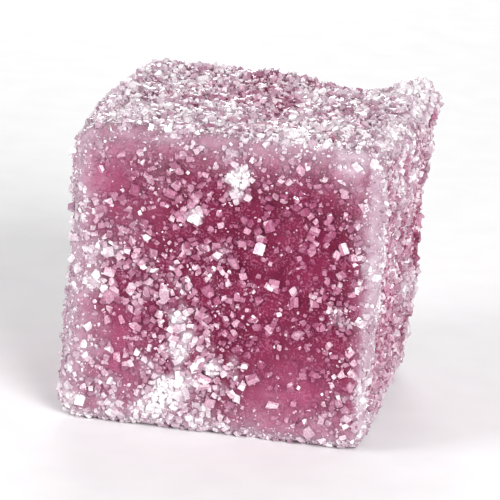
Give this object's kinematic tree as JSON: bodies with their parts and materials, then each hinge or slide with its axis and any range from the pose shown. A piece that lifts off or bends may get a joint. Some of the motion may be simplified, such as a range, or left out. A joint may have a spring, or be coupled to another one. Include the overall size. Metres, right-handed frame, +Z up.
{
  "type": "gummy cube",
  "caption": "Cube of soft fruit jelly with rounded, crusted edges and a coat of coarse sugar crystals.",
  "frame": {"origin": "middle of the flat base that the cube stands on", "axes": "+Z up, away from the base; the front face that the picture shows looks along -Y; +X to the right of that face"},
  "size_m": [0.0246, 0.0242, 0.0239],
  "materials": {
    "fruit_jelly": "soft translucent magenta jelly, frosted pale along the edges",
    "sugar": "clear to white sugar crystals with glinting facets"
  },
  "bodies": {
    "root": {"gummy_cube": "fruit_jelly"}
  },
  "joints": []
}
